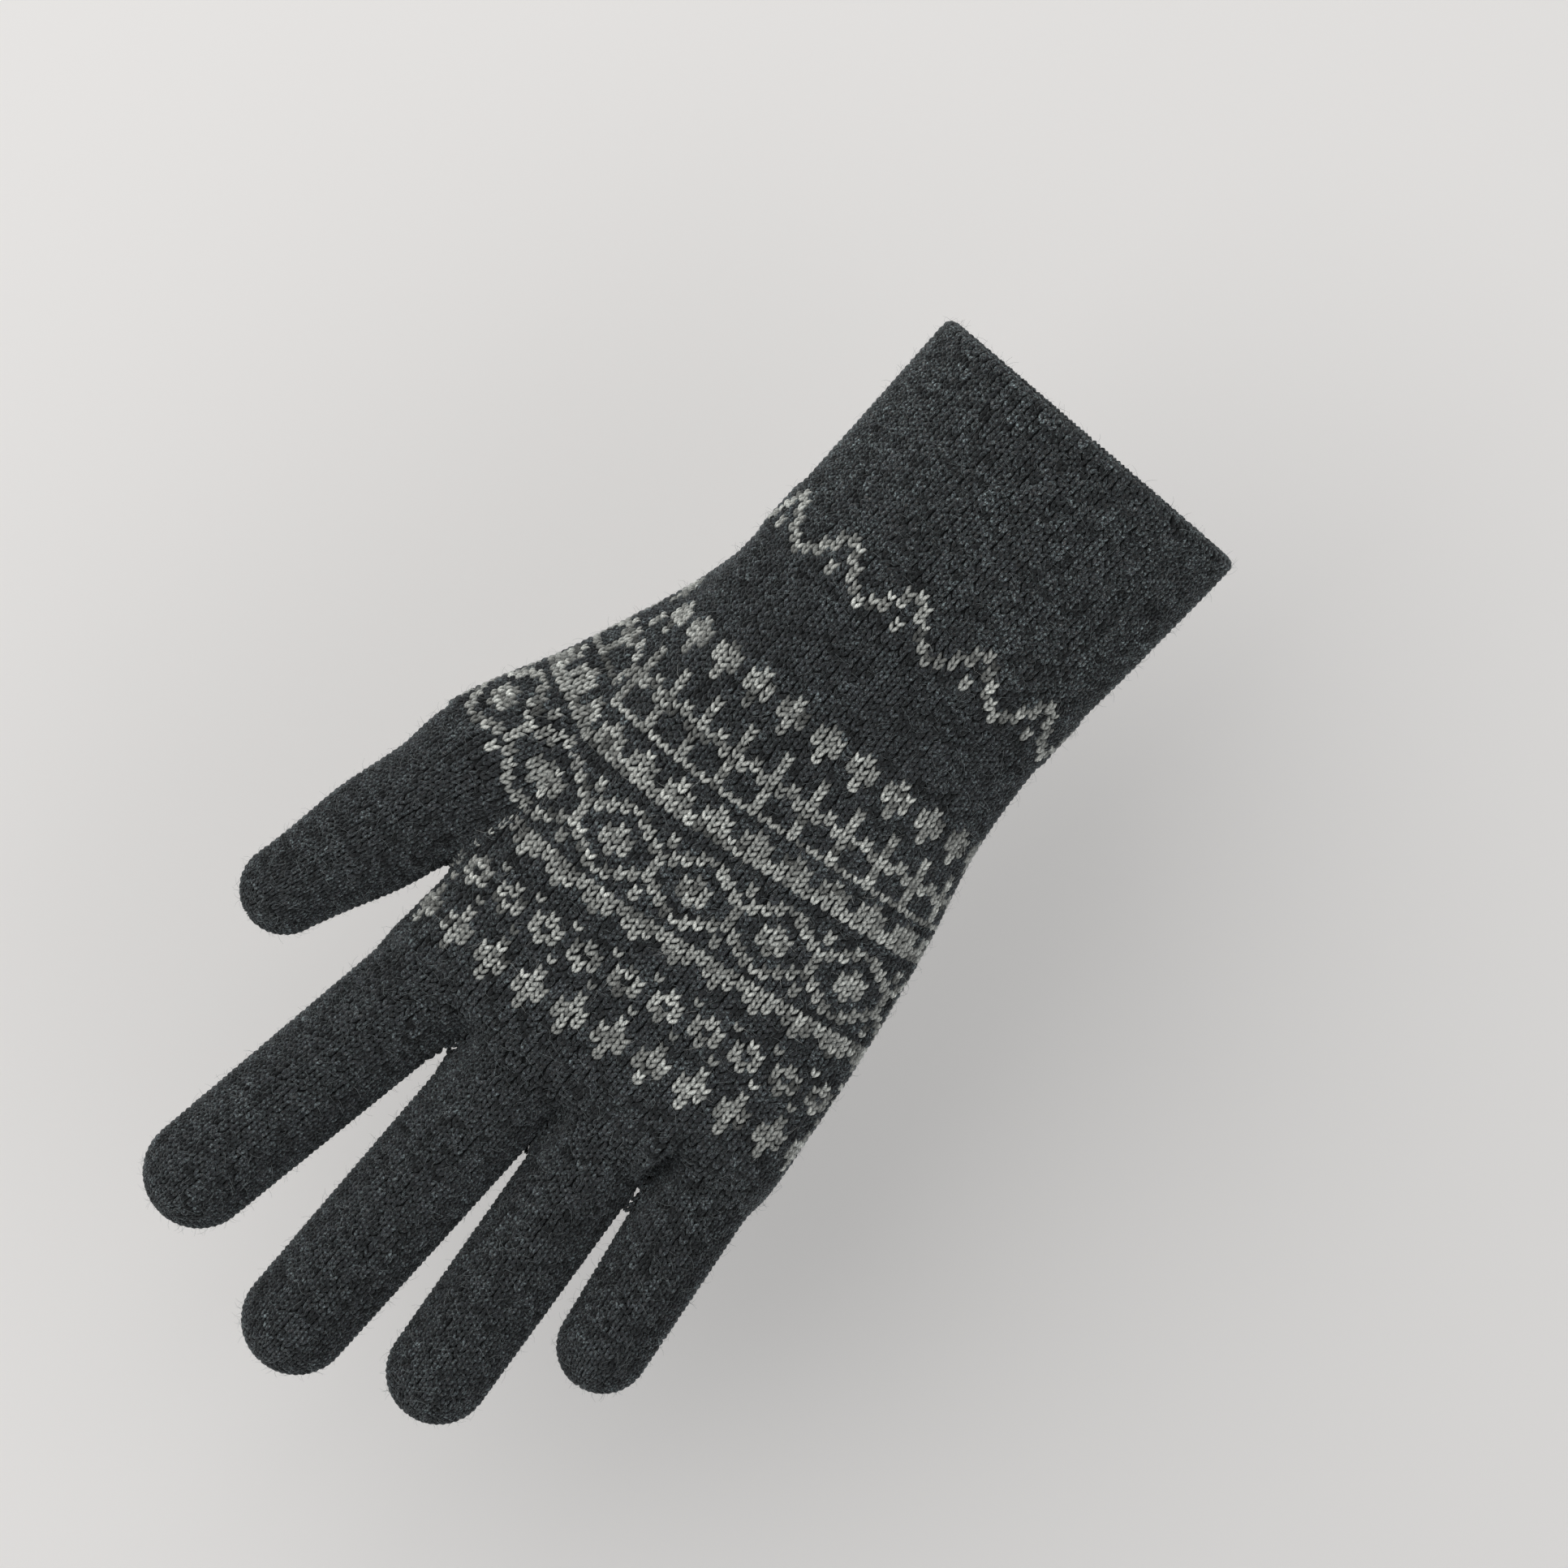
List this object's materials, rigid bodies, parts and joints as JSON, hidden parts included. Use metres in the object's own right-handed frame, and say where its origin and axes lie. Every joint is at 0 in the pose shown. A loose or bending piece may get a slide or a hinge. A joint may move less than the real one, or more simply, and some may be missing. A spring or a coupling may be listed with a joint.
{
  "type": "knitted glove",
  "caption": "Left-hand knitted wool glove: plain folded cuff, two-colour patterned hand and thumb gusset, plain fingers that bend at the knuckles.",
  "frame": {"origin": "middle of the flat patch under the palm that the glove rests on", "axes": "+Z out of the back of the hand, +Y from the cuff towards the fingertips, +X towards the thumb side"},
  "size_m": [0.1279, 0.252, 0.0519],
  "materials": {
    "plain_knit": "fuzzy charcoal wool, plain knit stitch",
    "cuff_knit": "heathered charcoal wool with faint teal and blue flecks, plain knit stitch",
    "patterned_knit": "charcoal and pale grey wool in a banded two-colour pattern",
    "seam_yarn": "charcoal yarn drawn tight in a seam"
  },
  "bodies": {
    "cuff": {"cuff_outer_layer": "cuff_knit", "cuff_inner_layer": "cuff_knit", "cuff_hem_seam": "seam_yarn"},
    "hand": {"hand_tube": "patterned_knit", "thumb_gusset": "patterned_knit", "thumb_root": "plain_knit"},
    "index_root": {"index_base": "plain_knit"},
    "index_mid": {"index_middle": "plain_knit"},
    "index_end": {"index_tip": "plain_knit", "index_drawn_tip": "seam_yarn"},
    "middle_root": {"middle_base": "plain_knit"},
    "middle_mid": {"middle_middle": "plain_knit"},
    "middle_end": {"middle_tip": "plain_knit", "middle_drawn_tip": "seam_yarn"},
    "ring_root": {"ring_base": "plain_knit"},
    "ring_mid": {"ring_middle": "plain_knit"},
    "ring_end": {"ring_tip": "plain_knit", "ring_drawn_tip": "seam_yarn"},
    "little_root": {"little_base": "plain_knit"},
    "little_mid": {"little_middle": "plain_knit"},
    "little_end": {"little_tip": "plain_knit", "little_drawn_tip": "seam_yarn"},
    "thumb_low": {"thumb_base": "plain_knit"},
    "thumb_end": {"thumb_tip": "plain_knit", "thumb_drawn_tip": "seam_yarn"}
  },
  "joints": [
    {"name": "wrist_bend", "type": "hinge", "parent": "cuff", "child": "hand", "pos_m": [0, -0.05, 0.02425], "axis": [-1, 0, 0], "range_deg": [-25, 25], "stiffness_Nm_per_rad": 0.6},
    {"name": "index_knuckle", "type": "hinge", "parent": "hand", "child": "index_root", "pos_m": [0.03087, 0.06823, 0.00582], "axis": [-0.986, 0.1668, 0], "range_deg": [-10, 60], "stiffness_Nm_per_rad": 0.06},
    {"name": "index_middle_joint", "type": "hinge", "parent": "index_root", "child": "index_mid", "pos_m": [0.0347, 0.09085, 0.00596], "axis": [-0.986, 0.1668, 0], "range_deg": [0, 85], "stiffness_Nm_per_rad": 0.03},
    {"name": "index_tip_joint", "type": "hinge", "parent": "index_mid", "child": "index_end", "pos_m": [0.03825, 0.11183, 0.00608], "axis": [-0.986, 0.1668, 0], "range_deg": [0, 51], "stiffness_Nm_per_rad": 0.015},
    {"name": "middle_knuckle", "type": "hinge", "parent": "hand", "child": "middle_root", "pos_m": [0.00502, 0.0683, 0.00587], "axis": [-1, 0.0087, 0], "range_deg": [-10, 60], "stiffness_Nm_per_rad": 0.06},
    {"name": "middle_middle_joint", "type": "hinge", "parent": "middle_root", "child": "middle_mid", "pos_m": [0.00525, 0.09424, 0.00606], "axis": [-1, 0.0087, 0], "range_deg": [0, 85], "stiffness_Nm_per_rad": 0.03},
    {"name": "middle_tip_joint", "type": "hinge", "parent": "middle_mid", "child": "middle_end", "pos_m": [0.00546, 0.11831, 0.00623], "axis": [-1, 0.0087, 0], "range_deg": [0, 51], "stiffness_Nm_per_rad": 0.015},
    {"name": "ring_knuckle", "type": "hinge", "parent": "hand", "child": "ring_root", "pos_m": [-0.01826, 0.06828, 0.00536], "axis": [-0.9959, -0.0906, 0], "range_deg": [-10, 60], "stiffness_Nm_per_rad": 0.06},
    {"name": "ring_middle_joint", "type": "hinge", "parent": "ring_root", "child": "ring_mid", "pos_m": [-0.02027, 0.09034, 0.00545], "axis": [-0.9959, -0.0906, 0], "range_deg": [0, 85], "stiffness_Nm_per_rad": 0.03},
    {"name": "ring_tip_joint", "type": "hinge", "parent": "ring_mid", "child": "ring_end", "pos_m": [-0.02213, 0.1108, 0.00553], "axis": [-0.9959, -0.0906, 0], "range_deg": [0, 51], "stiffness_Nm_per_rad": 0.015},
    {"name": "little_knuckle", "type": "hinge", "parent": "hand", "child": "little_root", "pos_m": [-0.03971, 0.05994, 0.00517], "axis": [-0.989, -0.1478, 0], "range_deg": [-10, 60], "stiffness_Nm_per_rad": 0.06},
    {"name": "little_middle_joint", "type": "hinge", "parent": "little_root", "child": "little_mid", "pos_m": [-0.04204, 0.07557, 0.00537], "axis": [-0.989, -0.1478, 0], "range_deg": [0, 85], "stiffness_Nm_per_rad": 0.03},
    {"name": "little_tip_joint", "type": "hinge", "parent": "little_mid", "child": "little_end", "pos_m": [-0.04421, 0.09007, 0.00557], "axis": [-0.989, -0.1478, 0], "range_deg": [0, 51], "stiffness_Nm_per_rad": 0.015},
    {"name": "thumb_knuckle", "type": "hinge", "parent": "hand", "child": "thumb_low", "pos_m": [0.05382, 0.03534, 0.00718], "axis": [-0.9511, 0.309, 0], "range_deg": [0, 40], "stiffness_Nm_per_rad": 0.06},
    {"name": "thumb_tip_joint", "type": "hinge", "parent": "thumb_low", "child": "thumb_end", "pos_m": [0.05914, 0.0517, 0.00809], "axis": [-0.9511, 0.309, 0], "range_deg": [0, 50], "stiffness_Nm_per_rad": 0.015}
  ],
  "couplings": [
    {"joint": "index_tip_joint", "follows": "index_middle_joint", "ratio": 0.6},
    {"joint": "middle_tip_joint", "follows": "middle_middle_joint", "ratio": 0.6},
    {"joint": "ring_tip_joint", "follows": "ring_middle_joint", "ratio": 0.6},
    {"joint": "little_tip_joint", "follows": "little_middle_joint", "ratio": 0.6}
  ]
}
